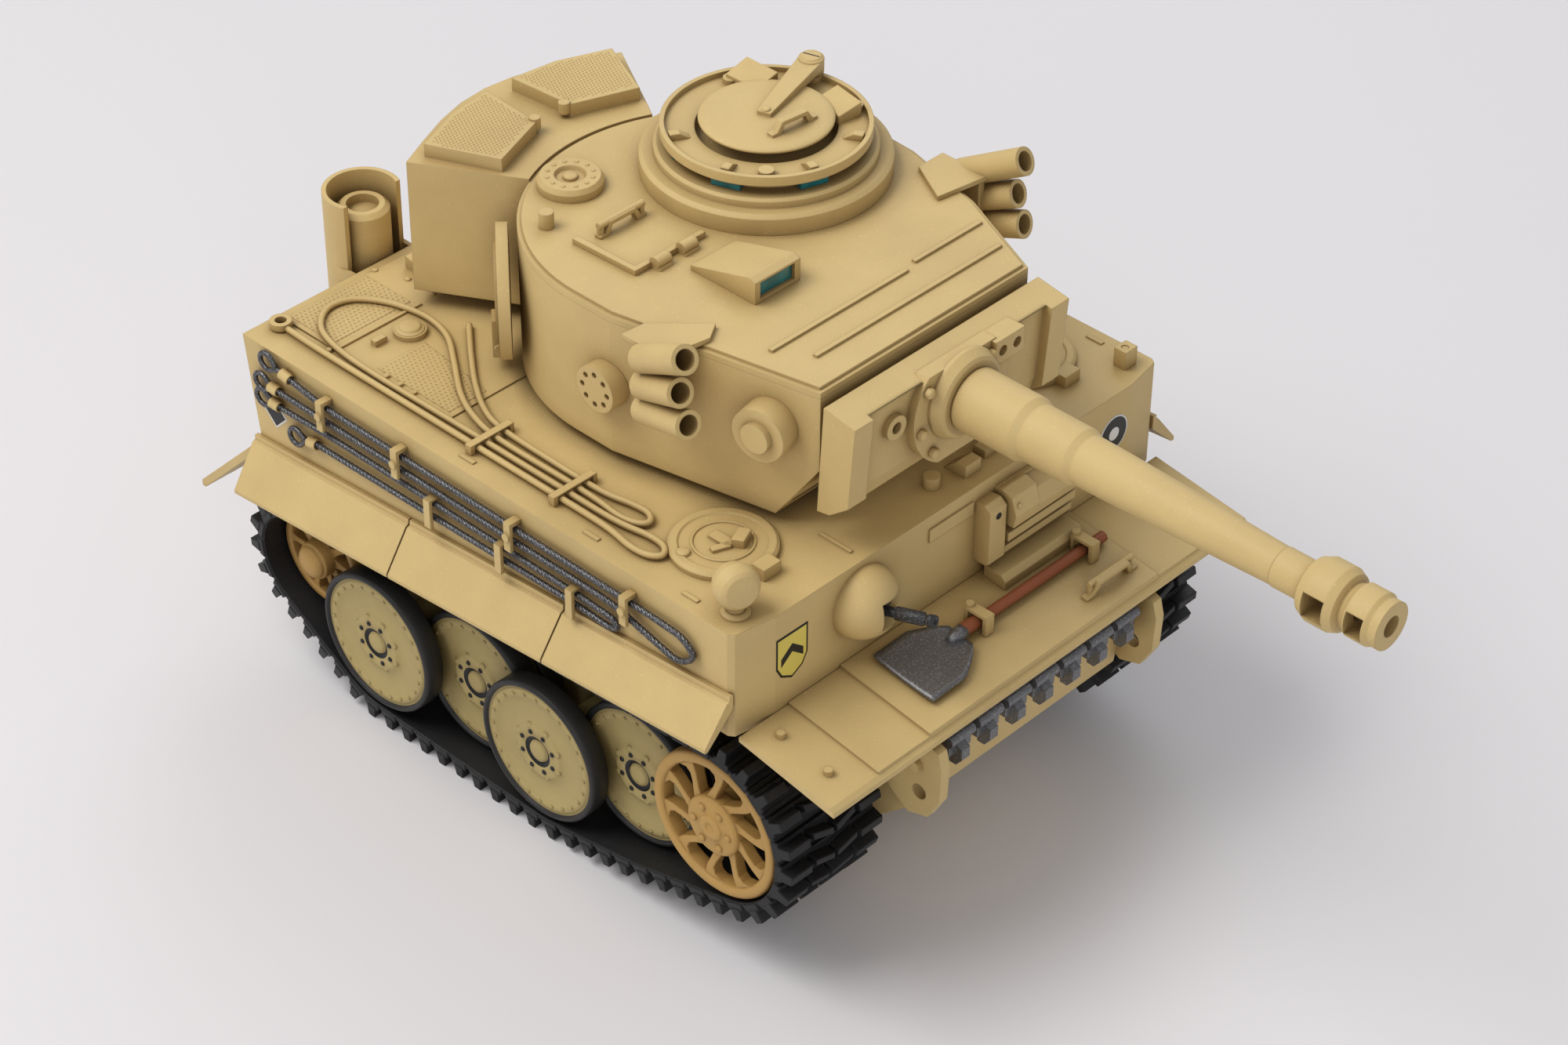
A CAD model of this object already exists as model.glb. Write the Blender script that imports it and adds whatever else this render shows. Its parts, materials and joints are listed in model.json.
"""Looks of the remote control tank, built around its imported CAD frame. Lengths are millimetres until MM."""
import bmesh
import bpy
import json
import math
from mathutils import Matrix, Vector


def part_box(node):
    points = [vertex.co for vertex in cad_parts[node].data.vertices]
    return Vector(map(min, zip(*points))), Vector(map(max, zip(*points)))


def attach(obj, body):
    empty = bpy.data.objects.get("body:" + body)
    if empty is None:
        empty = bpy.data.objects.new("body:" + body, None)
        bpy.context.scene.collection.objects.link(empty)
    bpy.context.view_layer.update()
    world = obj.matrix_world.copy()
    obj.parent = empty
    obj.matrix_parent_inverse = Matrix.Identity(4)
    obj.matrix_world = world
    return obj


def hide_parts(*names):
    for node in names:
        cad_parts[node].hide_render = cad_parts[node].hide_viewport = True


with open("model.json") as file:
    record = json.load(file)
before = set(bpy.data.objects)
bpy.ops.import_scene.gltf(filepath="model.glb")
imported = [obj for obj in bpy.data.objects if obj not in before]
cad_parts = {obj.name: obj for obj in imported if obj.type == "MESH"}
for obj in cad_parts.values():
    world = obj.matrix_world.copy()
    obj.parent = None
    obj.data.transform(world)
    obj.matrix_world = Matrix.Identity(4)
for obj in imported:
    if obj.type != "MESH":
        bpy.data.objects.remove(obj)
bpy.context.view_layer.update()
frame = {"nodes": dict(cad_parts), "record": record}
MM = 0.001


# ---------------------------------------------------------------- places taken from the frame
def box_mm(node):
    """Lowest and highest corner of a CAD node in millimetres."""
    low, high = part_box(node)
    return low / MM, high / MM


def middle(node):
    """Centre of a CAD node's box in millimetres."""
    low, high = box_mm(node)
    return (low + high) / 2


ROOF_Z = box_mm("turret_roof")[1].z - 0.5
GUN_Z = 105.7
MG_X = -27.5
MG_Z = 73.0
MID_Y = 39.0
WHEEL_R = 16.0
IDLER_R = 11.3
BELT_GAP = 0.3
BAND = 2.0
CLEAT = 2.7
LINKS = 64
TRACK_IN = 34.4
TRACK_OUT = 60.0
UP = (0, 0, 1)
FRONT = (0, -1, 0)
SPROCKET = middle("drive_sprocket_right")
IDLER = middle("idler_wheel_right")
WHEELS = [middle(f"road_wheel_right_{number}") for number in (1, 2, 3, 4)]


# ---------------------------------------------------------------- materials
def shader(name):
    """New node material with its Principled shader and link helper."""
    material = bpy.data.materials.new(name)
    material.use_nodes = True
    tree = material.node_tree
    return material, tree, tree.nodes["Principled BSDF"]


def node(tree, kind, **values):
    """A shader node; values go to its sockets or, failing that, its settings."""
    made = tree.nodes.new("ShaderNode" + kind)
    for key, value in values.items():
        label = key.replace("_", " ").title()
        if label in made.inputs:
            made.inputs[label].default_value = value
        else:
            setattr(made, key, value)
    return made


def ramp(tree, source, stops):
    """Colour ramp fed by a socket."""
    made = tree.nodes.new("ShaderNodeValToRGB")
    elements = made.color_ramp.elements
    elements[0].position, elements[0].color = stops[0][0], (*stops[0][1], 1)
    elements[1].position, elements[1].color = stops[-1][0], (*stops[-1][1], 1)
    for place, colour in stops[1:-1]:
        element = elements.new(place)
        element.color = (*colour, 1)
    tree.links.new(source, made.inputs["Fac"])
    return made.outputs["Color"]


def grey(value):
    """Neutral colour of one brightness."""
    return (value, value, value)


def mixed(tree, blend, factor, first, second):
    """Mix of two colours; each argument is a socket or a plain value."""
    made = tree.nodes.new("ShaderNodeMix")
    made.data_type = "RGBA"
    made.blend_type = blend
    for socket, value in ((made.inputs[0], factor), (made.inputs[6], first), (made.inputs[7], second)):
        if isinstance(value, bpy.types.NodeSocket):
            tree.links.new(value, socket)
        elif isinstance(value, tuple):
            socket.default_value = (*value, 1)
        else:
            socket.default_value = value
    return made.outputs[2]


def painted(name, light, dark, roughness=0.55, speck=0.35, grain=0.12, edge=0.00035):
    """Moulded plastic with an airbrushed coat: darker recesses, soft mottling and fine pale specks."""
    material, tree, principled = shader(name)
    place = node(tree, "TexCoord").outputs["Object"]
    cloud = node(tree, "TexNoise", scale=38.0, detail=4.0, roughness=0.6)
    tree.links.new(place, cloud.inputs["Vector"])
    tone = ramp(tree, cloud.outputs["Fac"], [(0.30, tuple(0.82 * a + 0.18 * b for a, b in zip(light, dark))),
                                             (0.62, light)])
    hollow = node(tree, "AmbientOcclusion", distance=0.006, samples=6)
    shade = ramp(tree, hollow.outputs["AO"], [(0.25, grey(1.0)), (0.95, grey(0.0))])
    colour = mixed(tree, "MIX", shade, tone, dark)
    dust = node(tree, "TexNoise", scale=2600.0, detail=2.0)
    tree.links.new(place, dust.inputs["Vector"])
    specks = ramp(tree, dust.outputs["Fac"], [(0.66, grey(0.0)), (0.74, grey(speck))])
    colour = mixed(tree, "MIX", specks, colour, tuple(min(1.0, c * 1.5 + 0.08) for c in light))
    tree.links.new(colour, principled.inputs["Base Color"])
    rough = ramp(tree, cloud.outputs["Fac"], [(0.2, grey(roughness - 0.07)), (0.8, grey(roughness + 0.08))])
    tree.links.new(rough, principled.inputs["Roughness"])
    principled.inputs["Specular IOR Level"].default_value = 0.35
    rounded = node(tree, "Bevel", radius=edge, samples=4)
    bump = node(tree, "Bump", strength=grain, distance=0.0001)
    skin = node(tree, "TexNoise", scale=3500.0, detail=3.0)
    tree.links.new(place, skin.inputs["Vector"])
    tree.links.new(skin.outputs["Fac"], bump.inputs["Height"])
    tree.links.new(rounded.outputs["Normal"], bump.inputs["Normal"])
    tree.links.new(bump.outputs["Normal"], principled.inputs["Normal"])
    return material


def metal(name, colour, roughness, metallic, sparkle=0.0, scale=3000.0):
    """Painted or bare metal with a grainy surface and bright flecks."""
    material, tree, principled = shader(name)
    place = node(tree, "TexCoord").outputs["Object"]
    grain = node(tree, "TexNoise", scale=scale, detail=3.0)
    tree.links.new(place, grain.inputs["Vector"])
    bright = tuple(min(1.0, c + sparkle) for c in colour)
    flecks = ramp(tree, grain.outputs["Fac"], [(0.50, colour), (0.70, bright)])
    tree.links.new(flecks, principled.inputs["Base Color"])
    principled.inputs["Metallic"].default_value = metallic
    uneven = ramp(tree, grain.outputs["Fac"], [(0.3, grey(roughness)), (0.7, grey(min(1.0, roughness + 0.15)))])
    tree.links.new(uneven, principled.inputs["Roughness"])
    bump = node(tree, "Bump", strength=0.3, distance=0.0001)
    rounded = node(tree, "Bevel", radius=0.0002, samples=4)
    tree.links.new(grain.outputs["Fac"], bump.inputs["Height"])
    tree.links.new(rounded.outputs["Normal"], bump.inputs["Normal"])
    tree.links.new(bump.outputs["Normal"], principled.inputs["Normal"])
    return material


SAND_LIGHT = (0.63, 0.465, 0.20)
SAND_DARK = (0.25, 0.155, 0.052)
sand = painted("sand_paint", SAND_LIGHT, SAND_DARK)
sand_warm = painted("sand_warm", (0.50, 0.30, 0.085), (0.20, 0.095, 0.025), roughness=0.5, speck=0.2)
wheel_tan = painted("wheel_tan", (0.46, 0.355, 0.145), (0.17, 0.12, 0.04), roughness=0.6, speck=0.25)
rubber = painted("track_rubber", (0.016, 0.016, 0.017), (0.004, 0.004, 0.004), roughness=0.5, speck=0.12,
                 grain=0.5)
tyre = painted("tyre_rim", (0.024, 0.023, 0.022), (0.008, 0.008, 0.008), roughness=0.45, speck=0.2)
blade_steel = metal("blade_steel", (0.17, 0.17, 0.175), 0.36, 0.7, sparkle=0.14, scale=2400.0)
gun_metal = metal("cable_metal", (0.085, 0.085, 0.09), 0.30, 0.8, sparkle=0.2)
pipe_dark = metal("pipe_dark", (0.03, 0.03, 0.032), 0.45, 0.4, sparkle=0.1)
bright_steel = metal("bright_steel", (0.55, 0.55, 0.56), 0.3, 1.0, sparkle=0.1)
handle_brown = painted("handle_brown", (0.30, 0.088, 0.032), (0.11, 0.03, 0.012), roughness=0.45, speck=0.1)
inner_black = painted("inner_black", (0.03, 0.03, 0.03), (0.01, 0.01, 0.01))
board_green = painted("board_green", (0.02, 0.20, 0.06), (0.01, 0.08, 0.03), roughness=0.35)
pack_blue = painted("pack_blue", (0.03, 0.10, 0.42), (0.01, 0.04, 0.18), roughness=0.3)
gear_white = painted("gear_white", (0.80, 0.78, 0.72), (0.45, 0.42, 0.36), roughness=0.4)
ink_black = painted("mark_black", (0.012, 0.012, 0.012), (0.006, 0.006, 0.006), roughness=0.4, speck=0.0)
ink_yellow = painted("mark_yellow", (0.75, 0.62, 0.13), (0.5, 0.4, 0.08), roughness=0.4, speck=0.0)
ink_white = painted("mark_white", (0.80, 0.79, 0.75), (0.6, 0.58, 0.52), roughness=0.4, speck=0.0)

glass, glass_tree, glass_shader = shader("teal_glass")
glass_cloud = node(glass_tree, "TexNoise", scale=260.0, detail=2.0)
glass_tree.links.new(node(glass_tree, "TexCoord").outputs["Object"], glass_cloud.inputs["Vector"])
glass_tone = ramp(glass_tree, glass_cloud.outputs["Fac"],
                  [(0.3, (0.0, 0.10, 0.12)), (0.7, (0.005, 0.20, 0.22))])
glass_tree.links.new(glass_tone, glass_shader.inputs["Base Color"])
glass_shader.inputs["Roughness"].default_value = 0.12
glass_shader.inputs["Coat Weight"].default_value = 0.6

SLOT_LOOKS = {
    "sand": sand, "dark_steel": blade_steel, "handle_brown": handle_brown, "cable_metal": gun_metal,
    "steel": bright_steel, "pack_blue": pack_blue, "board_green": board_green,
    "inner_black": inner_black, "gear_white": gear_white, "track_rubber": rubber, "wheel_tan": wheel_tan,
    "teal_glass": glass,
}
for entry in frame["record"]["subparts"]:
    cad_node = frame["nodes"][entry["node"]]
    look = SLOT_LOOKS[entry["material_slot"]]
    if entry["node"] == "mg_barrel":
        look = pipe_dark
    if entry["node"] == "exhaust_pipes":
        look = sand
    cad_node.data.materials.clear()
    cad_node.data.materials.append(look)


# ---------------------------------------------------------------- mesh helpers
class Shape:
    """A mesh being put together in millimetres, with a material for each face."""

    def __init__(self, name, *looks):
        self.name = name
        self.mesh = bmesh.new()
        self.looks = looks

    def face(self, corners, look=0, smooth=False):
        try:
            made = self.mesh.faces.new(corners)
        except ValueError:
            return
        made.material_index = look
        made.smooth = smooth

    def prism(self, base, top, look=0):
        """Closed solid between two loops of points with the same count."""
        low = [self.mesh.verts.new(point) for point in base]
        high = [self.mesh.verts.new(point) for point in top]
        count = len(low)
        self.face(list(reversed(low)), look)
        self.face(high, look)
        for index in range(count):
            after = (index + 1) % count
            self.face([low[index], low[after], high[after], high[index]], look)

    def block(self, x, y, z, look=0, taper=0.0):
        """Box between (low, high) pairs, with the top drawn in by a taper."""
        base = [(x[0], y[0], z[0]), (x[1], y[0], z[0]), (x[1], y[1], z[0]), (x[0], y[1], z[0])]
        top = [(x[0] + taper, y[0] + taper, z[1]), (x[1] - taper, y[0] + taper, z[1]),
               (x[1] - taper, y[1] - taper, z[1]), (x[0] + taper, y[1] - taper, z[1])]
        self.prism(base, top, look)

    def lathe(self, centre, axis, profile, segments=64, looks=None):
        """Turned shape; profile points are (radius, distance along the axis)."""
        axis = Vector(axis).normalized()
        across = axis.orthogonal().normalized()
        other = axis.cross(across)
        rings = []
        for radius, height in profile:
            place = Vector(centre) + axis * height
            if radius < 1e-6:
                rings.append([self.mesh.verts.new(place)])
                continue
            ring = []
            for step in range(segments):
                turn = 2 * math.pi * step / segments
                out = across * math.cos(turn) + other * math.sin(turn)
                ring.append(self.mesh.verts.new(place + out * radius))
            rings.append(ring)
        for index, (first, second) in enumerate(zip(rings, rings[1:])):
            look = looks[index] if looks else 0
            for step in range(segments):
                after = (step + 1) % segments
                if len(first) == 1 and len(second) > 1:
                    self.face([first[0], second[after], second[step]], look, True)
                elif len(second) == 1 and len(first) > 1:
                    self.face([first[step], first[after], second[0]], look, True)
                elif len(first) > 1:
                    self.face([first[step], first[after], second[after], second[step]], look, True)

    def stud(self, centre, axis, radius, height, look=0, segments=12):
        """Small round-headed rivet or bolt standing on a surface."""
        profile = [(radius, -0.3), (radius, height * 0.55), (radius * 0.7, height * 0.92), (0, height)]
        self.lathe(centre, axis, profile, segments, [look] * 3)

    def tube(self, path, radius, look=0, sides=10):
        """Round bar that follows a list of points, capped at both ends."""
        rings = []
        up = Vector((0.0, 0.0, 1.0))
        for index, point in enumerate(path):
            before = path[max(index - 1, 0)]
            after = path[min(index + 1, len(path) - 1)]
            along = (after - before).normalized()
            if abs(along.dot(up)) > 0.95:
                up = Vector((1.0, 0.0, 0.0))
            across = along.cross(up).normalized()
            up = across.cross(along).normalized()
            ring = []
            for step in range(sides):
                turn = 2 * math.pi * step / sides
                out = across * math.cos(turn) + up * math.sin(turn)
                ring.append(self.mesh.verts.new(point + out * radius))
            rings.append(ring)
        for first, second in zip(rings, rings[1:]):
            for step in range(sides):
                after = (step + 1) % sides
                self.face([first[step], first[after], second[after], second[step]], look, True)
        self.face(list(reversed(rings[0])), look)
        self.face(rings[-1], look)

    def make(self, body, replaces=(), bevel=0.0, segments=2, crisp=None):
        """Finish the piece and hang it on a body; edges over crisp degrees are shaded as sharp."""
        bmesh.ops.recalc_face_normals(self.mesh, faces=self.mesh.faces)
        if crisp:
            for edge in self.mesh.edges:
                if len(edge.link_faces) == 2 and edge.calc_face_angle() > math.radians(crisp):
                    edge.smooth = False
        bmesh.ops.scale(self.mesh, vec=(MM, MM, MM), verts=self.mesh.verts)
        data = bpy.data.meshes.new(self.name)
        self.mesh.to_mesh(data)
        self.mesh.free()
        piece = bpy.data.objects.new(self.name, data)
        for look in self.looks:
            data.materials.append(look)
        bpy.context.scene.collection.objects.link(piece)
        if bevel:
            soft = piece.modifiers.new("soft_edges", "BEVEL")
            soft.width = bevel * MM
            soft.segments = segments
            soft.limit_method = "ANGLE"
            soft.angle_limit = math.radians(35)
            soft.harden_normals = False
        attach(piece, body)
        if replaces:
            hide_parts(*replaces)
        return piece


# ---------------------------------------------------------------- tracks
def belt_rims():
    """Wheels that the belt wraps, each as (y, z, radius), anticlockwise from the sprocket."""
    wrapped = [(SPROCKET, WHEEL_R), (WHEELS[3], WHEEL_R), (WHEELS[2], WHEEL_R), (WHEELS[0], WHEEL_R),
               (IDLER, IDLER_R)]
    return [(wheel.y, wheel.z, radius) for wheel, radius in wrapped]


def belt_frames(extra, count):
    """Evenly spaced (y, z, outward angle) along the belt at a distance from the rims."""
    rims = belt_rims()
    runs = []
    for (y0, z0, r0), (y1, z1, r1) in zip(rims, rims[1:] + rims[:1]):
        dy, dz = y1 - y0, z1 - z0
        far = math.hypot(dy, dz)
        lean = (r0 - r1) / far
        swing = math.sqrt(1 - lean * lean)
        out_y = (lean * dy + swing * dz) / far
        out_z = (lean * dz - swing * dy) / far
        runs.append(((y0 + out_y * (r0 + extra), z0 + out_z * (r0 + extra)),
                     (y1 + out_y * (r1 + extra), z1 + out_z * (r1 + extra)), math.atan2(out_z, out_y)))
    pieces = []
    for index, (y, z, radius) in enumerate(rims):
        begin, finish = runs[index - 1][2], runs[index][2]
        if finish < begin:
            finish += 2 * math.pi
        pieces.append(((radius + extra) * (finish - begin), "arc", (y, z, radius + extra, begin)))
        start, end, out = runs[index]
        pieces.append((math.hypot(end[0] - start[0], end[1] - start[1]), "run", (start, end, out)))
    total = sum(piece[0] for piece in pieces)
    offset = sum(piece[0] for piece in pieces[:5]) + MID_Y + 11.0 - pieces[5][2][0][0]
    frames = []
    for number in range(count):
        gone = (offset + number * total / count) % total
        for length, kind, facts in pieces:
            if gone <= length:
                break
            gone -= length
        if kind == "arc":
            y, z, radius, begin = facts
            turn = begin + gone / radius
            frames.append((y + radius * math.cos(turn), z + radius * math.sin(turn), turn))
        else:
            (y0, z0), (y1, z1), out = facts
            share = gone / length
            frames.append((y0 + share * (y1 - y0), z0 + share * (z1 - z0), out))
    return frames


def build_track(hand, name, replaced):
    """Rubber track: link plates on a core band, each with an outer pad, a chevron and an inner pad."""
    shape = Shape(name, rubber)
    width = TRACK_OUT - TRACK_IN

    def band_point(frame_point, along, out, across):
        """Point on the band; across is measured from its inner edge."""
        y, z, turn = frame_point
        radial = Vector((0, math.cos(turn), math.sin(turn)))
        tangent = Vector((0, -math.sin(turn), math.cos(turn)))
        base = Vector((hand * (TRACK_IN + across), y, z))
        return base + tangent * along + radial * out

    core = belt_frames(BELT_GAP + 0.2, LINKS * 3)
    loops = []
    for out, across in ((0.0, 0.4), (1.0, 0.4), (1.0, width - 0.4), (0.0, width - 0.4)):
        loops.append([shape.mesh.verts.new(band_point(point, 0, out, across)) for point in core])
    for index in range(len(core)):
        after = (index + 1) % len(core)
        for first, second in ((0, 1), (1, 2), (2, 3), (3, 0)):
            shape.face([loops[first][index], loops[first][after], loops[second][after], loops[second][index]])

    def pad(point, a_low, a_high, shift_low, shift_high, half, height, taper, floor):
        """Tapered block across part of a link; the shifts lean its two ends along the belt."""
        base, top = [], []
        for across, shift in ((a_low, shift_low), (a_high, shift_high)):
            sign = 1 if across == a_high else -1
            for side in ((-1, 1) if sign < 0 else (1, -1)):
                base.append(band_point(point, shift + side * half, floor - BAND, across))
                top.append(band_point(point, shift + side * (half - taper), height, across - sign * taper))
        shape.prism(base, top)

    for point in belt_frames(BELT_GAP + BAND, LINKS):
        pad(point, 0.0, width, 0.0, 0.0, 2.15, 0.0, 0.25, floor=0.35)
        pad(point, 0.0, 6.4, 0.0, 0.0, 1.25, CLEAT, 0.35, floor=1.7)
        pad(point, 7.0, 12.6, -0.5, 0.9, 0.95, CLEAT - 0.1, 0.25, floor=1.7)
        pad(point, 13.0, 18.6, 0.9, -0.5, 0.95, CLEAT - 0.1, 0.25, floor=1.7)
        pad(point, width - 6.4, width, 0.0, 0.0, 1.25, CLEAT, 0.35, floor=1.7)
    return shape.make("hull", [replaced], bevel=0.12, segments=1)


build_track(-1, "track_belt_right", "track_right")
build_track(1, "track_belt_left", "track_left")


# ---------------------------------------------------------------- wheels
RIM_RIVETS = 24
HUB_BOLTS = 8
SPOKES = 10
SPROCKET_FACE = 59.5
SPROCKET_BOLTS = 6


def axle_middle(low, high):
    """Where a wheel's axle crosses the hull's middle plane, from the wheel's box."""
    return Vector((0, (low.y + high.y) / 2, (low.z + high.z) / 2))


def on_disc(centre, hand, reach, radius, turn):
    """Point on a wheel's face, reach out along its axle."""
    return centre + Vector((hand * reach, radius * math.cos(turn), radius * math.sin(turn)))


def build_road_wheel(hand, number, side_name):
    """Dished double wheel with a thin tyre, rim rivets and a bolted hub."""
    node_name = f"road_wheel_{side_name}_{number + 1}"
    low, high = box_mm(node_name)
    centre = axle_middle(low, high)
    face = max(abs(low.x), abs(high.x))
    outer = number % 2 == 0
    discs = ((face, 4.6), (42.0 if outer else 48.2, 4.6))
    shape = Shape(f"wheel_{side_name}_{number + 1}", wheel_tan, tyre, ink_black)
    axis = (hand, 0, 0)
    for rank, (front, thick) in enumerate(discs):
        back = front - thick
        profile = [(1.6, back + 0.6), (11.5, back + 0.6), (14.0, back), (15.6, back), (WHEEL_R, back + 0.4),
                   (WHEEL_R, front - 0.5), (15.6, front - 0.08), (15.0, front), (14.75, front - 0.25),
                   (14.6, front - 0.7), (14.2, front - 0.72), (13.9, front - 0.45), (13.2, front - 0.42),
                   (12.4, front - 0.55), (11.8, front - 0.95), (8.0, front - 1.0), (6.6, front - 0.75),
                   (6.1, front - 0.35), (5.6, front - 0.25), (3.5, front - 0.25), (3.2, front - 0.7),
                   (2.5, front - 0.75), (2.3, front - 0.3), (1.6, front - 0.1), (0, front - 0.05)]
        looks = [0, 0, 1, 1, 1, 1, 1, 1, 1, 0, 0, 0, 0, 0, 0, 0, 0, 0, 0, 2, 2, 0, 0, 0]
        shape.lathe(centre, axis, profile, 72, looks)
        if rank:
            continue
        for rivet in range(RIM_RIVETS):
            turn = 2 * math.pi * rivet / RIM_RIVETS
            shape.stud(on_disc(centre, hand, front - 0.45, 13.0, turn), axis, 0.36, 0.35, 0, 8)
        for bolt in range(HUB_BOLTS):
            turn = 2 * math.pi * (bolt + 0.5) / HUB_BOLTS
            shape.stud(on_disc(centre, hand, front - 0.3, 4.6, turn), axis, 0.55, 0.42, 2, 8)
            shape.stud(on_disc(centre, hand, front - 0.55, 5.9, turn), axis, 0.75, 0.35, 0, 10)
    shape.lathe(centre, axis, [(3.4, 31.6), (3.4, face - 2.0)], 32)
    shape.make(f"wheel_{side_name[0]}{number + 1}", [node_name])


def curved_spoke(shape, centre, hand, turn, radii, width, depth, bend):
    """One spoke as a strip that leans as it goes outwards."""
    front, back = depth
    ring_front, ring_back = [], []
    for side in (-1, 1):
        line = []
        for index, (radius, half) in enumerate(zip(radii, width)):
            share = index / (len(radii) - 1)
            angle = turn + bend * math.sin(share * math.pi * 0.75) + side * half / radius
            line.append((radius * math.cos(angle), radius * math.sin(angle)))
        if side > 0:
            line.reverse()
        ring_front += [centre + Vector((hand * front, y, z)) for y, z in line]
        ring_back += [centre + Vector((hand * back, y, z)) for y, z in line]
    low = [shape.mesh.verts.new(point) for point in ring_back]
    high = [shape.mesh.verts.new(point) for point in ring_front]
    count = len(low)
    half_count = count // 2
    for index in range(half_count - 1):
        mirror = count - 1 - index
        shape.face([high[index], high[index + 1], high[mirror - 1], high[mirror]])
        shape.face([low[index], low[index + 1], low[mirror - 1], low[mirror]])
    for index in range(count):
        after = (index + 1) % count
        shape.face([low[index], low[after], high[after], high[index]])


def build_sprocket(hand, side_name):
    """Drive sprocket with ten leaning spokes and a bolted hub, twice on one drum."""
    node_name = f"drive_sprocket_{side_name}"
    centre = axle_middle(*box_mm(node_name))
    shape = Shape(f"sprocket_{side_name}", sand_warm, ink_black)
    axis = (hand, 0, 0)
    for front, thick in ((SPROCKET_FACE, 3.4), (43.0, 3.4)):
        back = front - thick
        shape.lathe(centre, axis, [(13.5, back), (15.5, back), (WHEEL_R, back + 0.4), (WHEEL_R, front - 0.6),
                                   (15.6, front - 0.1), (15.0, front), (14.1, front), (13.7, front - 0.3),
                                   (13.5, front - 0.8), (13.5, back)], 80)
        for spoke in range(SPOKES):
            turn = 2 * math.pi * spoke / SPOKES + 0.12
            curved_spoke(shape, centre, hand, turn, (6.0, 7.6, 9.4, 11.2, 12.6, 13.8),
                         (1.35, 0.95, 0.8, 0.85, 1.2, 2.3), (front - 0.6, back + 0.3), 0.30)
        shape.lathe(centre, axis, [(0, back), (6.6, back), (6.6, front - 0.3), (6.1, front + 0.2),
                                   (5.6, front + 0.3), (2.9, front + 0.3), (2.7, front + 0.7),
                                   (1.2, front + 0.8), (0.9, front + 0.5), (0, front + 0.5)], 48)
    for bolt in range(SPROCKET_BOLTS):
        turn = 2 * math.pi * bolt / SPROCKET_BOLTS
        shape.stud(on_disc(centre, hand, SPROCKET_FACE + 0.25, 4.5, turn), axis, 0.85, 0.55, 0, 8)
    shape.lathe(centre, axis, [(5.6, 33.2), (5.6, SPROCKET_FACE - 3.0)], 40)
    shape.lathe(centre, axis, [(0, 19.0), (1.5, 19.0), (1.5, 34.0)], 20)
    shape.make(f"drive_{side_name[0]}", [node_name], bevel=0.15, segments=1)


def build_idler(hand, side_name):
    """Rear idler with ten straight spokes and a domed cap."""
    node_name = f"idler_wheel_{side_name}"
    centre = axle_middle(*box_mm(node_name))
    shape = Shape(f"idler_{side_name}", sand_warm)
    axis = (hand, 0, 0)
    for front, back in ((54.4, 51.0), (46.5, 43.0)):
        shape.lathe(centre, axis, [(9.4, back), (10.9, back), (IDLER_R, back + 0.3), (IDLER_R, front - 0.4),
                                   (10.9, front), (9.8, front), (9.4, front - 0.4), (9.4, back)], 64)
        for spoke in range(SPOKES):
            turn = 2 * math.pi * spoke / SPOKES
            curved_spoke(shape, centre, hand, turn, (4.0, 5.6, 7.2, 8.8, 9.8), (1.2, 0.75, 0.65, 0.8, 1.3),
                         (front - 0.5, back + 0.3), 0.0)
    shape.lathe(centre, axis, [(1.6, 31.6), (4.2, 31.6), (4.2, 56.0), (4.0, 56.4), (3.7, 56.5), (3.6, 57.1),
                               (2.8, 57.9), (1.4, 58.25), (0, 58.3)], 40)
    shape.make(f"idler_{side_name[0]}", [node_name], bevel=0.12, segments=1)


for wheel_hand, wheel_side in ((-1, "right"), (1, "left")):
    build_sprocket(wheel_hand, wheel_side)
    build_idler(wheel_hand, wheel_side)
    for wheel_number in range(4):
        build_road_wheel(wheel_hand, wheel_number, wheel_side)


# ---------------------------------------------------------------- tow cables
def rounded_path(points, reach=0.45, steps=7):
    """Points along straight runs joined by smooth bends."""
    path = [points[0]]
    for before, here, after in zip(points, points[1:], points[2:]):
        cut = reach * min((here - before).length, (after - here).length)
        start = here + (before - here).normalized() * cut
        end = here + (after - here).normalized() * cut
        for step in range(steps + 1):
            share = step / steps
            path.append(start.lerp(here, share).lerp(here.lerp(end, share), share))
    path.append(points[-1])
    return path


def evenly(path, gap):
    """The same path with points a fixed gap apart."""
    spread = [path[0]]
    left = gap
    for start, end in zip(path, path[1:]):
        length = (end - start).length
        gone = 0.0
        while gone + left < length:
            gone += left
            spread.append(start.lerp(end, gone / length))
            left = gap
        left -= length - gone
    spread.append(path[-1])
    return spread


def twisted(shape, path, radius, turn_length, strands=4):
    """Rope of strands that wind round a path."""
    gap = turn_length / 10
    spread = evenly(path, gap)
    offset = radius * 0.5
    strand_radius = radius * 0.52
    for strand in range(strands):
        line = []
        for index, point in enumerate(spread):
            along = (spread[min(index + 1, len(spread) - 1)] - spread[max(index - 1, 0)]).normalized()
            side = Vector((1, 0, 0))
            other = along.cross(side).normalized()
            turn = 2 * math.pi * (index / 10 + strand / strands)
            line.append(point + (side * math.cos(turn) + other * math.sin(turn)) * offset)
        shape.tube(line, strand_radius, sides=6)


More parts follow.
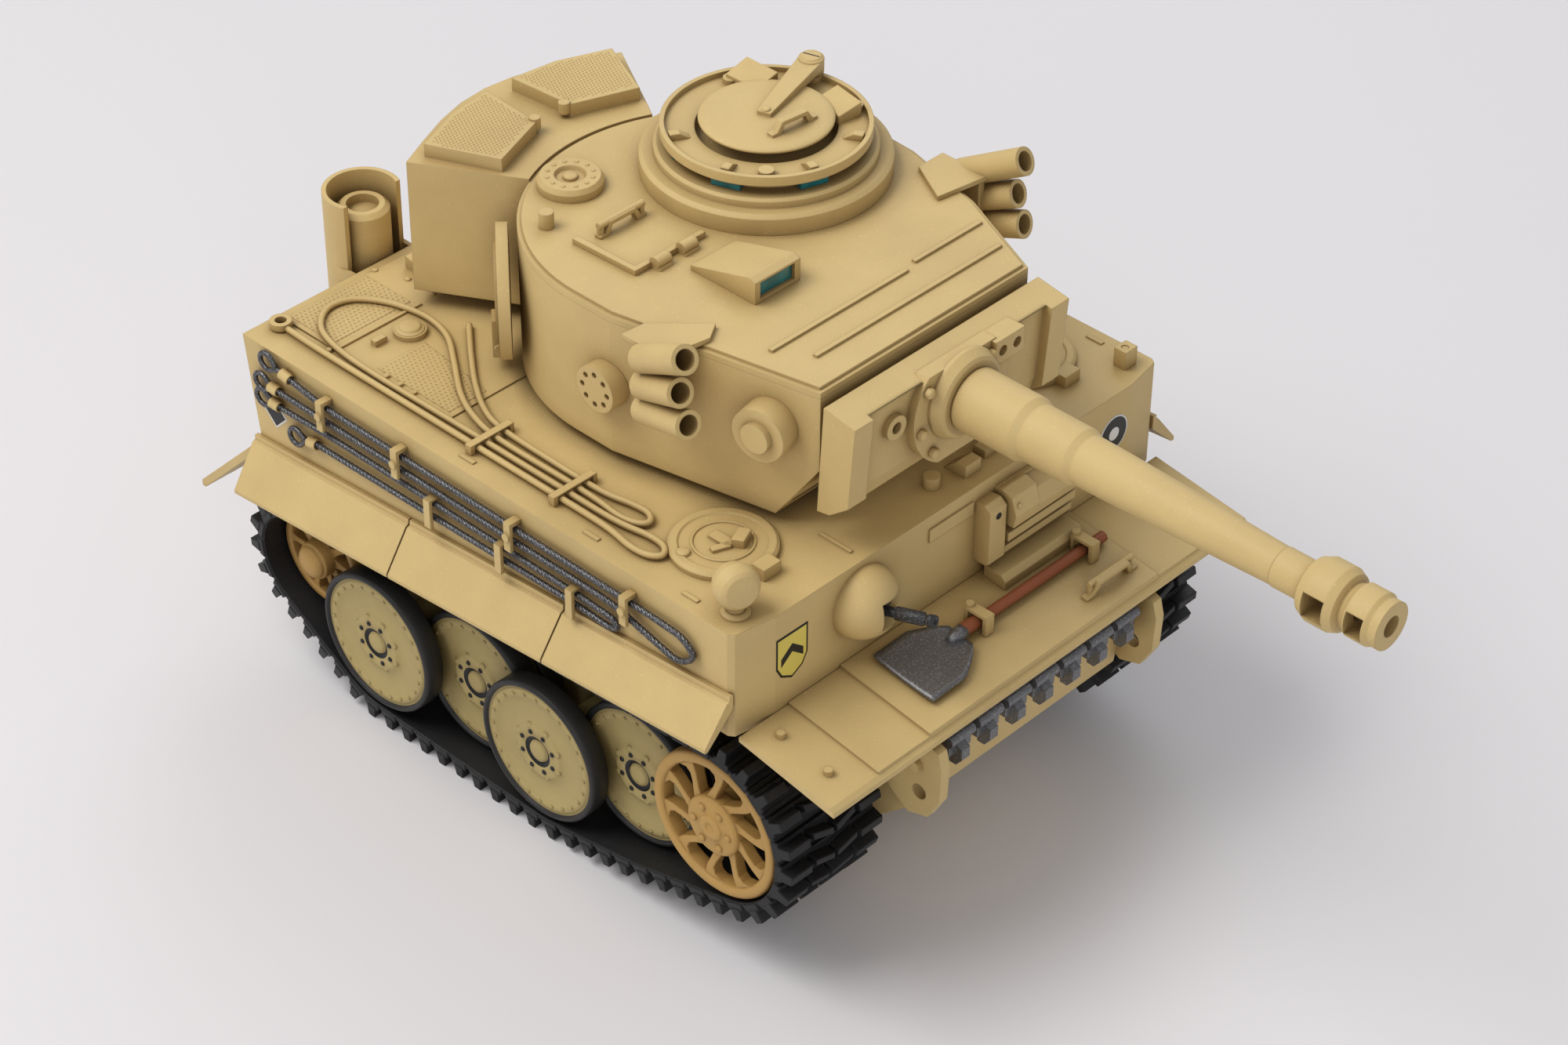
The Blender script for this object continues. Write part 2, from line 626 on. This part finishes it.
CABLE_X = 61.2
UPPER_CABLE = ((53.0, 79.0), (44, 77.6), (-48, 76.6), (-56, 76.2), (-59.4, 73.2), (-55, 69.6), (-47, 71.5),
               (-38, 73.8), (57.0, 74.2))
LOWER_CABLE = ((57.0, 70.4), (40, 71.0), (-30, 70.6), (-37.6, 70.2), (-39.2, 68.6), (-36.8, 67.6), (-28, 68.0),
               (46.0, 66.8))
cables = Shape("twisted_tow_cables", gun_metal)
for cable_hand in (-1, 1):
    for route, cable_radius in ((UPPER_CABLE, 0.68), (LOWER_CABLE, 0.66)):
        corners = [Vector((cable_hand * CABLE_X, y + MID_Y, z)) for y, z in route]
        twisted(cables, rounded_path(corners), cable_radius, 4.2)
EYES = ((53.0, 79.0, 60.4, 80.1), (57.0, 74.2, 62.6, 74.2), (57.0, 70.4, 62.6, 70.4), (46.0, 66.8, 53.0, 65.4))
for cable_hand in (-1, 1):
    for y, z, eye_y, eye_z in EYES:
        start = Vector((cable_hand * CABLE_X, y + MID_Y, z))
        ring = Vector((cable_hand * CABLE_X, eye_y + MID_Y, eye_z))
        reach = (ring - start).normalized()
        across = Vector((1, 0, 0)).cross(reach)
        tail = ring - reach * 3.4
        loop = [start, start + reach * 3.0, tail]
        for step in range(13):
            turn = math.radians(-145 + step * 290 / 12)
            loop.append(ring + reach * (2.0 * math.cos(turn)) + across * (1.9 * math.sin(turn)))
        cables.tube(loop + [tail + reach * 0.2], 0.56, 0, 8)
cables.make("hull", ["tow_cables"])


# ---------------------------------------------------------------- fine patterns on decks and lids
def inside(point, outline):
    """Whether a flat point lies in a polygon."""
    x, y = point
    found = False
    for (x0, y0), (x1, y1) in zip(outline, outline[1:] + outline[:1]):
        if (y0 > y) != (y1 > y) and x < (x1 - x0) * (y - y0) / (y1 - y0) + x0:
            found = not found
    return found


def tread(shape, outline, height, pitch, size, rise, slope=None):
    """Field of small pyramids in a polygon; slope gives the height at a place."""
    xs = [x for x, y in outline]
    ys = [y for x, y in outline]
    rows = int((max(ys) - min(ys)) / pitch)
    columns = int((max(xs) - min(xs)) / pitch)
    for row in range(rows + 1):
        for column in range(columns + 1):
            x = min(xs) + (column + 0.5 * (row % 2)) * pitch
            y = min(ys) + row * pitch
            if not inside((x, y), outline):
                continue
            z = slope(x, y) if slope else height
            tip = shape.mesh.verts.new((x, y + MID_Y, z + rise))
            ring = [shape.mesh.verts.new((x + dx * size, y + MID_Y + dy * size, z - 0.15))
                    for dx, dy in ((1, 0), (0, 0.8), (-1, 0), (0, -0.8))]
            for first, second in zip(ring, ring[1:] + ring[:1]):
                shape.face([first, second, tip])


lid_tread = Shape("bin_lid_tread", sand)
LID_PLAN = ((24.6, 50.0), (18.6, 37.0), (5.5, 41.7), (4.6, 55.6), (14, 54.2))
for lid_hand in (-1, 1):
    tread(lid_tread, [(lid_hand * x, y) for x, y in LID_PLAN], ROOF_Z + 3.0, pitch=0.8, size=0.42, rise=0.22)
lid_tread.make("turret")



def centre_slope(x, y):
    """Height of the sloping top of the box in the middle of the rear deck."""
    return 82.5 + (y - 48) * 2.7 / 14.5 + 0.05


GRILLE_Z = 82.3
GRILLE_PLANS = (((29.5, 53.2), (49.8, 53.2), (49.8, 66.4), (29.5, 66.4)),
                ((39.6, 19.6), (49.4, 19.6), (49.4, 40.6), (37.0, 40.6)))
deck_mesh = Shape("engine_deck_mesh", sand)
for mesh_hand in (-1, 1):
    for plan in GRILLE_PLANS:
        outline = [(mesh_hand * x, y) for x, y in plan]
        deck_mesh.prism([(x, y + MID_Y, GRILLE_Z - 0.6) for x, y in outline],
                        [(x, y + MID_Y, GRILLE_Z + 0.08) for x, y in outline])
        tread(deck_mesh, outline, GRILLE_Z + 0.08, pitch=1.05, size=0.45, rise=0.22)
centre_top = [(-20.4, 49.6), (20.4, 49.6), (20.4, 61.8), (-20.4, 61.8)]
deck_mesh.prism([(x, y + MID_Y, centre_slope(x, y) - 0.7) for x, y in centre_top],
                [(x, y + MID_Y, centre_slope(x, y)) for x, y in centre_top])
tread(deck_mesh, centre_top, 0, pitch=1.05, size=0.45, rise=0.22, slope=centre_slope)
deck_mesh.make("hull")


# ---------------------------------------------------------------- fittings with finer shapes than the CAD
def spot(x, y, z):
    """A point given from the hull middle."""
    return Vector((x, y + MID_Y, z))


def strap(shape, start, end, rise, width, thick, foot, up=Vector(UP)):
    """Flat strap handle bridging two points, with a foot at each end."""
    along = (end - start).normalized()
    length = (end - start).length
    wide = up.cross(along).normalized() * (width / 2)
    slant = rise * 0.45
    outline = [(-foot, -0.2), (-foot, thick * 0.7), (0, thick * 0.8), (slant, rise),
               (length - slant, rise), (length, thick * 0.8), (length + foot, thick * 0.7),
               (length + foot, -0.2), (length - thick, -0.2), (length - slant - thick * 0.6, rise - thick),
               (slant + thick * 0.6, rise - thick), (thick, -0.2)]
    places = [start + along * reach + up * height for reach, height in outline]
    shape.prism([place - wide for place in places], [place + wide for place in places])


def profile_bar(shape, x_low, x_high, outline, look):
    """Bar along X with a (y, z) section given from the hull middle."""
    shape.prism([spot(x_low, y, z) for y, z in outline], [spot(x_high, y, z) for y, z in outline], look)


def plan_block(shape, outline, low, high):
    """Upright block with an (x, y) outline given from the hull middle."""
    shape.prism([spot(x, y, low) for x, y in outline], [spot(x, y, high) for x, y in outline])


# commander's lid: domed disc, strap handle, and the arm that swings on a slotted screw
LID = spot(19.0, 0.5, 0)
PIVOT = spot(37.8, 6.4, 0)
lid = Shape("commander_lid", sand)
lid.lathe(LID, UP, [(0, 126.9), (13.1, 126.9), (13.4, 127.1), (13.4, 127.5), (12.9, 127.85), (11.5, 127.95),
                    (0, 128.0)], 72)
arm_way = (PIVOT - LID).normalized()
arm_side = Vector((-arm_way.y, arm_way.x, 0))
tip = LID - arm_way * 1.2
arm_plan = [tip + arm_side * 1.5, tip - arm_side * 1.5, PIVOT - arm_side * 2.6, PIVOT + arm_side * 2.6]
lid.prism([place + Vector((0, 0, 127.8)) for place in arm_plan],
          [place + Vector((0, 0, height)) for place, height in zip(arm_plan, (128.9, 128.9, 130.0, 130.0))])
lid.lathe(PIVOT, UP, [(0, 126.95), (2.6, 126.95), (2.6, 130.1), (2.4, 130.3), (2.15, 130.3), (2.15, 130.5),
                      (1.95, 130.65), (0, 130.65)], 32)
lid.lathe(LID - arm_way * 0.2, UP, [(0.9, 128.6), (0.9, 129.15), (0.7, 129.3), (0, 129.3)], 16)
strap(lid, spot(14.6, -6.0, 127.9), spot(23.4, -6.9, 127.9), 2.7, 1.7, 0.95, 1.3)
lid.make("lid", ["cupola_hatch"], bevel=0.14)
slot_mark = Shape("pivot_screw_slot", ink_black)
slot_side = arm_side * 1.8
slot_plan = [PIVOT + slot_side * a + arm_way * (0.16 * b) for a, b in ((-1, -1), (1, -1), (1, 1), (-1, 1))]
slot_mark.prism([place + Vector((0, 0, 130.5)) for place in slot_plan],
                [place + Vector((0, 0, 130.68)) for place in slot_plan])
slot_mark.make("lid")

# wedge hoods and small gussets on the cupola rim
rim = Shape("cupola_hoods", sand)
for near, far, half in (((25.0, 13.2), (31.0, 13.2), 4.3), ((29.6, -5.6), (35.0, -6.6), 4.0)):
    way = (Vector(far) - Vector(near)).normalized()
    wide = Vector((-way.y, way.x)) * half
    plan = [Vector(near) - wide, Vector(far) - wide, Vector(far) + wide, Vector(near) + wide]
    rim.prism([spot(place.x, place.y, 125.2) for place in plan],
              [spot(place.x, place.y, height) for place, height in zip(plan, (127.2, 128.6, 128.6, 127.2))])
for turn_degrees in (-160, -108, -62, 150):
    turn = math.radians(turn_degrees)
    out = Vector((math.cos(turn), math.sin(turn), 0))
    across = Vector((-out.y, out.x, 0)) * 0.9
    ends = [LID + out * 15.2 + Vector((0, 0, 125.3)), LID + out * 19.6 + Vector((0, 0, 125.3)),
            LID + out * 19.6 + Vector((0, 0, 126.8)), LID + out * 17.6 + Vector((0, 0, 126.8))]
    rim.prism([place - across for place in ends], [place + across for place in ends])
rim.make("turret", bevel=0.12, segments=1)

# driver's visor: tall side block, notched shutter over a dark slit, sill bars and a bar on the plate
visor = Shape("driver_visor_detailed", sand, ink_black)
VISOR_BARS = (
    (4.2, 8.9, 0, ((-68.9, 64.6), (-68.9, 78.4), (-71.4, 78.6), (-73.0, 77.4), (-73.0, 65.2), (-72.2, 64.6))),
    (9.6, 29.4, 0, ((-68.9, 64.8), (-68.9, 79.0), (-70.2, 79.0), (-70.2, 64.8))),
    (9.6, 16.6, 0, ((-70.0, 71.8), (-70.0, 79.2), (-71.0, 79.4), (-73.6, 78.6), (-74.9, 74.8), (-74.3, 71.8))),
    (16.4, 26.6, 0, ((-70.0, 71.8), (-70.0, 78.2), (-73.6, 77.4), (-74.9, 74.4), (-74.3, 71.8))),
    (26.4, 29.4, 0, ((-70.0, 71.8), (-70.0, 79.0), (-71.0, 79.2), (-73.6, 78.4), (-74.9, 74.8), (-74.3, 71.8))),
    (9.8, 29.2, 1, ((-70.1, 70.2), (-70.1, 71.9), (-70.9, 71.9), (-70.9, 70.2))),
    (9.6, 29.4, 0, ((-70.0, 68.0), (-70.0, 70.3), (-73.2, 70.0), (-73.2, 68.0))),
    (9.8, 29.2, 1, ((-70.1, 66.6), (-70.1, 68.1), (-70.8, 68.1), (-70.8, 66.6))),
    (9.6, 29.4, 0, ((-70.0, 64.8), (-70.0, 66.7), (-72.4, 66.4), (-72.4, 64.8))),
    (6.0, 29.0, 0, ((-70.4, 60.3), (-70.4, 63.0), (-74.9, 62.7), (-76.0, 61.5), (-76.0, 59.6))),
)
for x_low, x_high, look_number, section in VISOR_BARS:
    profile_bar(visor, x_low, x_high, section, look_number)
visor.lathe(spot(6.6, -73.0, 75.8), FRONT, [(0.75, -0.2), (0.75, 0.12), (0, 0.12)], 16, [1, 1])
for x in (11.0, 28.0):
    visor.stud(spot(x, -74.3, 76.6), (0, -0.95, 0.3), 0.6, 0.45)
visor.make("hull", ["driver_visor"], bevel=0.16)

# small fittings on the hull: bolts round the gun shield, hatch details, deck bolts, rails and caps
small = Shape("hull_small_fittings", sand)
for turn_degrees in range(0, 360, 45):
    turn = math.radians(turn_degrees + 22.5)
    place = spot(MG_X + 6.95 * math.cos(turn), -70.2, MG_Z + 6.95 * math.sin(turn))
    small.stud(place, FRONT, 0.42, 0.35, 0, 8)
for hatch_hand in (-1, 1):
    x = hatch_hand * 42.3
    small.lathe(spot(x, -47.8, 0), UP, [(6.2, 83.1), (6.2, 83.55), (5.9, 83.7), (5.6, 83.55), (5.6, 83.1)], 48)
    small.lathe(spot(x - 7.6, -45.0, 0), UP, [(1.3, 83.0), (1.3, 83.8), (1.0, 84.0), (0, 84.0)], 16)
    plan_block(small, [(x + 1.0, -52.2), (x + 4.6, -50.6), (x + 3.6, -48.4), (x - 0.2, -50.0)], 83.1, 85.2)
    plan_block(small, [(x - 4.0, -49.0), (x - 0.4, -50.4), (x + 0.2, -49.0), (x - 3.4, -47.6)], 83.1, 84.0)
    for y in (29, 33, 37):
        small.block((hatch_hand * 50.4 - 0.9, hatch_hand * 50.4 + 0.9), (y + MID_Y - 0.7, y + MID_Y + 0.7),
                    (82.1, 82.9), taper=0.15)
    for x, y in ((24.5, 52), (24.5, 59.5), (27.0, 66.8), (52.0, 52), (52.0, 66.8)):
        small.stud(spot(hatch_hand * x, y, 82.3), UP, 0.7, 0.45, 0, 10)
    plan_block(small, [(hatch_hand * 28.6, 50.6), (hatch_hand * 50.6, 50.6), (hatch_hand * 50.6, 51.4),
                       (hatch_hand * 28.6, 51.4)], 82.2, 82.75)
    small.lathe(spot(hatch_hand * 36.8, 45, 0), UP, [(3.0, 83.3), (3.0, 83.6), (2.3, 83.75), (2.2, 84.1),
                                                     (1.9, 84.25), (0, 84.25)], 24)
small.make("hull", bevel=0.1, segments=1)
plate_handle = Shape("front_plate_handle", sand)
strap(plate_handle, spot(17.6, -87.4, 57.9), spot(29.6, -87.4, 57.9), 3.4, 1.7, 1.0, 1.6,
      up=Vector((0, -0.14, 0.99)))
plate_handle.make("hull", bevel=0.14, segments=1)

# turret extras: ventilator cap, strap and blocks by the loader's hatch, blocks on the bin, mantlet bolts
VENT_X = -12.7
VENT_Y = 22.7
roof_bits = Shape("turret_small_fittings", sand)
for dimple in range(12):
    turn = math.radians(30 * dimple)
    place = spot(VENT_X + 4.6 * math.cos(turn), VENT_Y + 4.6 * math.sin(turn), ROOF_Z + 2.55)
    roof_bits.stud(place, UP, 0.45, 0.3, 0, 8)
roof_bits.lathe(spot(VENT_X, VENT_Y, 0), UP, [(1.5, ROOF_Z + 1.7), (1.5, ROOF_Z + 2.3), (1.2, ROOF_Z + 2.5),
                                              (0, ROOF_Z + 2.5)], 20)
strap(roof_bits, spot(-20.6, 5.5, ROOF_Z), spot(-11.1, 5.5, ROOF_Z), 3.0, 1.7, 0.95, 1.4)
for x in (-20, -13):
    roof_bits.block((x - 1.9, x + 1.9), (-11.2 + MID_Y, -8.0 + MID_Y), (ROOF_Z - 0.1, ROOF_Z + 0.7), taper=0.2)
for lid_hand in (-1, 1):
    for x, y in ((9.5, 60.9), (20.5, 56.6)):
        roof_bits.block((lid_hand * x - 1.4, lid_hand * x + 1.4), (y + MID_Y - 1.4, y + MID_Y + 0.2),
                        (110.0, 113.2), taper=0.3)
roof_bits.make("turret", bevel=0.12, segments=1)
gun_bits = Shape("mantlet_bolts", sand)
for x, z in ((-9.6, 110.6), (-11.2, 102.0), (-7.8, 96.2), (9.6, 98.0), (7.6, 110.8)):
    gun_bits.stud(spot(x, -68.6, z), FRONT, 1.15, 0.9, 0, 6)
gun_bits.make("gun", bevel=0.08, segments=1)

# gun tube in three steps, the hull gun's barrel and its round shield with a cut opening
tube_piece = Shape("stepped_gun_tube", sand)
tube_piece.lathe(spot(0, 0, GUN_Z), FRONT, [(0, 70.8), (6.2, 70.8), (6.45, 71.3), (6.45, 84.6), (5.7, 86.2),
                                            (5.7, 96.8), (5.0, 98.3), (4.9, 105.0), (4.5, 120.0),
                                            (3.75, 142.5), (0, 142.5)], 72)
tube_piece.make("gun", ["gun_barrel"], crisp=15)
BALL = spot(MG_X, -69.0, MG_Z)
BALL_R = 7.6
OPENING_R = 5.6
hull_gun = Shape("hull_gun_barrel", pipe_dark)
HULL_GUN_PROFILE = ((0, -1.4), (1.2, -0.8), (1.4, 0), (1.0, 1.0), (1.0, 4.2), (1.35, 4.6), (1.35, 10.4),
                    (0.95, 10.8), (0.95, 11.4), (1.25, 11.7), (1.25, 13.0), (0.55, 13.0), (0.55, 11.4), (0, 11.4))
hull_gun.lathe(spot(MG_X, -73.0, MG_Z), (0.17, -1, 0.22), HULL_GUN_PROFILE, 28)
hull_gun.make("mg", ["mg_barrel"])
ball = Shape("hull_gun_shield", sand, ink_black)
STEP = 6
OPEN_ACROSS = (-12, 60)
OPEN_UP = (-24, 24)


def ball_point(across, up, radius):
    """Point on the round shield; angles in degrees, across towards +X and up from level."""
    a = math.radians(across)
    e = math.radians(up)
    return BALL + Vector((math.sin(a) * math.cos(e), -math.cos(a) * math.cos(e), math.sin(e))) * radius


for across in range(-90, 90, STEP):
    for up in range(-90, 90, STEP):
        is_open = OPEN_ACROSS[0] <= across < OPEN_ACROSS[1] and OPEN_UP[0] <= up < OPEN_UP[1]
        radius = OPENING_R if is_open else BALL_R
        corners = [(across, up), (across + STEP, up), (across + STEP, up + STEP), (across, up + STEP)]
        ball.face([ball.mesh.verts.new(ball_point(a, e, radius)) for a, e in corners],
                  1 if is_open else 0, True)
for edge in (0, 1):
    for up in range(OPEN_UP[0], OPEN_UP[1], STEP):
        ball.face([ball.mesh.verts.new(ball_point(OPEN_ACROSS[edge], e, radius))
                   for e, radius in ((up, BALL_R), (up + STEP, BALL_R), (up + STEP, OPENING_R), (up, OPENING_R))])
    for across in range(OPEN_ACROSS[0], OPEN_ACROSS[1], STEP):
        ball.face([ball.mesh.verts.new(ball_point(a, OPEN_UP[edge], radius))
                   for a, radius in ((across, BALL_R), (across + STEP, BALL_R),
                                     (across + STEP, OPENING_R), (across, OPENING_R))])
bmesh.ops.remove_doubles(ball.mesh, verts=ball.mesh.verts, dist=0.001)
ball.make("hull", ["mg_housing"], crisp=30)

# shovel blade: dished plate that narrows to its socket
blade = Shape("dished_shovel_blade", blade_steel)
ROWS = 14
COLUMNS = 12
BLADE_HALF = 7.6
sheets = []
for thickness in (0.0, -0.55):
    sheet = []
    for row in range(ROWS + 1):
        share = row / ROWS
        half = BLADE_HALF * min(1.0, (0.16 + 1.9 * share) ** 0.5) if share < 0.45 else BLADE_HALF
        x = -10.8 - 16.6 * share
        line = []
        for column in range(COLUMNS + 1):
            across = 2 * column / COLUMNS - 1
            y = -80.0 + half * across
            z = (60.0 + 0.1394 * (y + 80) + 0.75 * across * across * (1 - 0.4 * share) + 0.5 * (1 - share) ** 2
                 + thickness)
            line.append(blade.mesh.verts.new(spot(x - 0.5 * across * across * (1 - share), y, z)))
        sheet.append(line)
    sheets.append(sheet)
upper, lower = sheets
for row in range(ROWS):
    for column in range(COLUMNS):
        for sheet in sheets:
            blade.face([sheet[row][column], sheet[row + 1][column],
                        sheet[row + 1][column + 1], sheet[row][column + 1]], 0, True)
    for column in (0, COLUMNS):
        blade.face([upper[row][column], upper[row + 1][column], lower[row + 1][column], lower[row][column]])
for row in (0, ROWS):
    for column in range(COLUMNS):
        blade.face([upper[row][column], upper[row][column + 1], lower[row][column + 1], lower[row][column]])
blade.lathe(spot(-14.2, -79.3, 60.9), (1, 0, 0.02), [(0, 0), (0.9, 0.4), (1.5, 2.4), (1.6, 4.2), (0, 4.2)], 20)
blade.make("hull", ["shovel_blade"])


def curve_through(points, steps=6):
    """Smooth line through hand-placed points."""
    line = []
    for index in range(len(points) - 1):
        p0, p1 = points[max(index - 1, 0)], points[index]
        p2, p3 = points[index + 1], points[min(index + 2, len(points) - 1)]
        for step in range(steps):
            t = step / steps
            line.append(0.5 * ((2 * p1) + (p2 - p0) * t + (2 * p0 - 5 * p1 + 4 * p2 - p3) * t * t
                               + (3 * p1 - p0 - 3 * p2 + p3) * t * t * t))
    return line + [points[-1]]


# cable on the deck: four runs between the clamps, a wide bend at the rear and two loops in front
DECK_CABLE = ((-53.6, 62.8), (-53.9, 50), (-53.9, 20), (-53.9, -10), (-54.0, -28), (-55.0, -36),
              (-54.6, -40.4), (-52.8, -42.4), (-50.8, -40.8), (-50.4, -36.6), (-51.6, -28), (-51.7, -10),
              (-51.7, 15), (-51.9, 38), (-51.2, 50), (-48.8, 58), (-43.5, 62.4), (-38, 61.5), (-34, 56.5),
              (-31.9, 50), (-31.6, 44), (-33.4, 37.5), (-38.5, 30), (-44.5, 21.5), (-47.8, 14), (-49.4, 5),
              (-49.4, -14), (-49.6, -22), (-50.1, -28), (-49.3, -32.2), (-47.4, -33.6), (-45.7, -31.6),
              (-45.8, -27.6), (-47.1, -20), (-47.1, -5), (-46.6, 8), (-44.5, 15), (-40, 22.4), (-34.5, 29.5),
              (-29.5, 35.5), (-27.4, 37.9))
deck_line = Shape("deck_cable_smooth", sand)
deck_line.tube(curve_through([spot(x, y, 83.0) for x, y in DECK_CABLE]), 0.66)
deck_line.make("hull", ["deck_cable"])

# plain marks in place of the printed ones: a shield with a chevron, a ringed disc and a diamond
marks = Shape("plain_marks", ink_black, ink_yellow, ink_white)


def plate_mark(points, x, z, size, depth, look):
    """Flat figure on the front plate."""
    low = [spot(x + a * size, -68.9, z + b * size) for a, b in points]
    high = [spot(x + a * size, -69.0 - depth, z + b * size) for a, b in points]
    marks.prism(low, high, look)


SHIELD = ((-0.8, 1.0), (0.8, 1.0), (0.8, -0.35), (0.55, -0.8), (0.0, -1.1), (-0.55, -0.8), (-0.8, -0.35))
CHEVRON = ((-0.62, 0.1), (0.0, 0.6), (0.62, 0.1), (0.62, -0.3), (0.0, 0.2), (-0.62, -0.3))
DISC = tuple((math.cos(math.radians(10 * step)), math.sin(math.radians(10 * step))) for step in range(36))
plate_mark(SHIELD, -46.0, 71.0, 5.2, 0.06, 0)
plate_mark(SHIELD, -46.0, 71.0, 4.7, 0.10, 1)
plate_mark(CHEVRON, -46.0, 70.6, 4.7, 0.14, 0)
plate_mark(DISC, 45.6, 72.6, 4.2, 0.06, 2)
plate_mark(DISC, 45.6, 72.6, 3.8, 0.10, 0)
plate_mark(DISC, 45.6, 72.6, 1.5, 0.14, 2)
for size, depth, look_number in ((3.6, 0.06, 2), (3.0, 0.10, 0)):
    for side_hand in (-1, 1):
        figure = ((-1, 0), (0, 1), (1, 0), (0, -1))
        marks.prism([spot(side_hand * 59.9, 60.6 + a * size, 66.6 + b * size) for a, b in figure],
                    [spot(side_hand * (60.0 + depth), 60.6 + a * size, 66.6 + b * size) for a, b in figure],
                    look_number)
marks.make("hull")

# ---------------------------------------------------------------- floor, light and camera
floor_mesh = bmesh.new()
FLOOR = 3.0
corners = [floor_mesh.verts.new(point) for point in ((-FLOOR, -FLOOR, 0), (FLOOR, -FLOOR, 0), (FLOOR, FLOOR, 0),
                                                     (-FLOOR, FLOOR, 0))]
floor_mesh.faces.new(corners)
floor_data = bpy.data.meshes.new("floor")
floor_mesh.to_mesh(floor_data)
floor_mesh.free()
floor = bpy.data.objects.new("floor", floor_data)
paper, paper_tree, paper_shader = shader("paper")
paper_noise = node(paper_tree, "TexNoise", scale=6.0, detail=5.0)
paper_tone = ramp(paper_tree, paper_noise.outputs["Fac"],
                  [(0.3, (0.735, 0.715, 0.73)), (0.7, (0.785, 0.77, 0.785))])
paper_tree.links.new(paper_tone, paper_shader.inputs["Base Color"])
paper_shader.inputs["Roughness"].default_value = 0.65
floor_data.materials.append(paper)
bpy.context.scene.collection.objects.link(floor)

world = bpy.data.worlds.new("studio")
world.use_nodes = True
world.node_tree.nodes["Background"].inputs["Color"].default_value = (0.95, 0.96, 1.0, 1)
world.node_tree.nodes["Background"].inputs["Strength"].default_value = 0.42
bpy.context.scene.world = world


def softbox(name, place, aim, size, power, tint):
    """Square area light aimed at a point, places in metres."""
    lamp = bpy.data.lights.new(name, "AREA")
    lamp.shape = "RECTANGLE"
    lamp.size, lamp.size_y = size
    lamp.energy = power
    lamp.color = tint
    held = bpy.data.objects.new(name, lamp)
    held.location = place
    held.rotation_euler = (Vector(aim) - Vector(place)).to_track_quat("-Z", "Y").to_euler()
    bpy.context.scene.collection.objects.link(held)


softbox("key_light", (-0.55, 0.45, 1.15), (0, 0, 0.06), (0.9, 0.7), 11.0, (1.0, 0.98, 0.95))
softbox("fill_light", (-0.9, -0.9, 0.8), (0, 0, 0.05), (0.8, 0.8), 3.6, (1.0, 0.98, 0.96))
softbox("rim_light", (0.9, 0.5, 0.9), (0, 0, 0.05), (0.8, 0.8), 3.2, (0.97, 0.98, 1.0))

CAMERA_PLACE = Vector((-431.7, -432.9 + MID_Y, 511.5)) * MM
AZIMUTH = math.radians(46.49)
LOOK_DOWN = math.radians(37.73)
ROLL = math.radians(0.47)
sight = Vector((math.sin(AZIMUTH) * math.cos(LOOK_DOWN), math.cos(AZIMUTH) * math.cos(LOOK_DOWN),
                -math.sin(LOOK_DOWN)))
right = Vector((math.cos(AZIMUTH), -math.sin(AZIMUTH), 0))
above = right.cross(sight)
rolled_right = right * math.cos(ROLL) + above * math.sin(ROLL)
rolled_up = above * math.cos(ROLL) - right * math.sin(ROLL)
turned = Matrix((rolled_right, rolled_up, -sight)).transposed().to_4x4()
lens = bpy.data.cameras.new("camera")
lens.lens = 86.4
lens.sensor_width = 36.0
lens.clip_start = 0.01
camera = bpy.data.objects.new("camera", lens)
camera.matrix_world = Matrix.Translation(CAMERA_PLACE) @ turned
bpy.context.scene.collection.objects.link(camera)
bpy.context.scene.camera = camera
bpy.context.scene.view_settings.view_transform = "Standard"
